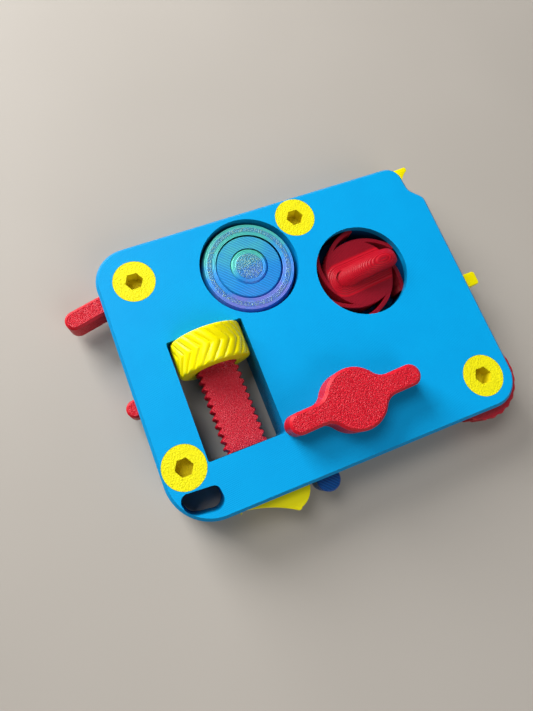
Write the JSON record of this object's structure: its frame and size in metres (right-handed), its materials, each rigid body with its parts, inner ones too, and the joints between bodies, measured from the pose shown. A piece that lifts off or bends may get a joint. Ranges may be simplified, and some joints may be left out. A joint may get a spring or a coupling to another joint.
{
  "type": "handheld busy board",
  "caption": "Flat handheld busy board: a screwed plastic case with a gyro, a twist knob, a nut on a bolt, a wing knob, and levers, a wheel and buttons round its edge.",
  "frame": {"origin": "middle of the flat underside of the case", "axes": "+X along the long edge, +Y towards the long edge with the single screw, +Z out of the play face"},
  "size_m": [0.172, 0.1213, 0.0315],
  "materials": {
    "sky_blue": "printed plastic",
    "yellow_speckle": "printed plastic",
    "silk_blue": "printed plastic",
    "dark_red": "printed plastic",
    "red_grain": "printed plastic",
    "yellow_gloss": "printed plastic",
    "deep_blue": "printed plastic",
    "grey_pin": "printed plastic"
  },
  "bodies": {
    "case": {"base_plate": "sky_blue", "middle_frame": "sky_blue", "cover_plate": "sky_blue", "case_screws": "yellow_speckle", "spring_rim": "dark_red", "spring_arms": "dark_red", "threaded_bolt": "red_grain", "button_spring": "red_grain", "rocker_pin": "grey_pin", "trigger_pin": "grey_pin", "trigger_spring": "yellow_gloss", "paddle_pin": "grey_pin"},
    "gyro_outer": {"gyro_outer_ring": "silk_blue"},
    "gyro_middle": {"gyro_middle_ring": "silk_blue"},
    "gyro_disc": {"gyro_inner_disc": "silk_blue"},
    "twist_knob": {"spring_knob": "dark_red"},
    "nut_core": {"nut_core": "yellow_gloss"},
    "nut": {"knurled_nut": "yellow_gloss"},
    "wing_knob": {"wing_knob": "red_grain", "wing_retainer": "red_grain"},
    "side_lever": {"side_lever": "red_grain"},
    "corner_wheel": {"corner_wheel": "red_grain"},
    "push_button": {"push_button": "red_grain"},
    "rocker_lever": {"rocker_lever": "yellow_gloss"},
    "trigger_blade": {"trigger_blade": "yellow_gloss"},
    "paddle_lever": {"paddle_lever": "deep_blue"}
  },
  "joints": [
    {"name": "outer_ring_spin", "type": "hinge", "parent": "case", "child": "gyro_outer", "pos_m": [-0.0122, 0.0328, 0.0115], "axis": [-0.309, 0.9511, 0], "continuous": true},
    {"name": "middle_ring_spin", "type": "hinge", "parent": "gyro_outer", "child": "gyro_middle", "pos_m": [-0.0122, 0.0328, 0.0115], "axis": [0.9511, 0.309, 0], "continuous": true},
    {"name": "inner_disc_spin", "type": "hinge", "parent": "gyro_middle", "child": "gyro_disc", "pos_m": [-0.0122, 0.0328, 0.0115], "axis": [-0.309, 0.9511, 0], "continuous": true},
    {"name": "knob_twist", "type": "hinge", "parent": "case", "child": "twist_knob", "pos_m": [0.03195, 0.0155, 0.0125], "axis": [0, 0, 1], "range_deg": [-40, 40], "stiffness_Nm_per_rad": 0.08, "deforming": ["spring_arms"]},
    {"name": "nut_travel", "type": "slide", "parent": "case", "child": "nut_core", "axis": [0, -1, 0], "range_m": [0, 0.0325]},
    {"name": "nut_spin", "type": "hinge", "parent": "nut_core", "child": "nut", "pos_m": [-0.03955, 0.0052, 0.0153], "axis": [0, -1, 0], "range_deg": [0, 3901]},
    {"name": "wing_turn", "type": "hinge", "parent": "case", "child": "wing_knob", "pos_m": [0.0033, -0.0331, 0.0205], "axis": [0, 0, 1], "continuous": true},
    {"name": "lever_swing", "type": "hinge", "parent": "case", "child": "side_lever", "pos_m": [-0.0587, 0.0411, 0.01], "axis": [0, 0, 1], "range_deg": [-32, 32]},
    {"name": "wheel_turn", "type": "hinge", "parent": "case", "child": "corner_wheel", "pos_m": [0.0605, -0.0426, 0.01], "axis": [0, 0, 1], "continuous": true},
    {"name": "button_press", "type": "slide", "parent": "case", "child": "push_button", "axis": [1, 0, 0], "range_m": [0, 0.0028], "stiffness_N_per_m": 400, "deforming": ["button_spring"]},
    {"name": "rocker_tilt", "type": "hinge", "parent": "case", "child": "rocker_lever", "pos_m": [0.0636, 0.026, 0.0128], "axis": [0, 0, 1], "range_deg": [-4.5, 4.5]},
    {"name": "trigger_squeeze", "type": "hinge", "parent": "case", "child": "trigger_blade", "pos_m": [-0.047, -0.0475, 0.01], "axis": [0, 0, 1], "range_deg": [0, 14], "stiffness_Nm_per_rad": 0.3, "deforming": ["trigger_spring"]},
    {"name": "paddle_swing", "type": "hinge", "parent": "case", "child": "paddle_lever", "pos_m": [-0.0148, -0.043, 0.01], "axis": [0, 0, 1], "range_deg": [-3, 25]}
  ],
  "couplings": [
    {"joint": "nut_spin", "follows": "nut_travel", "rad_per_m": 2094.4}
  ]
}
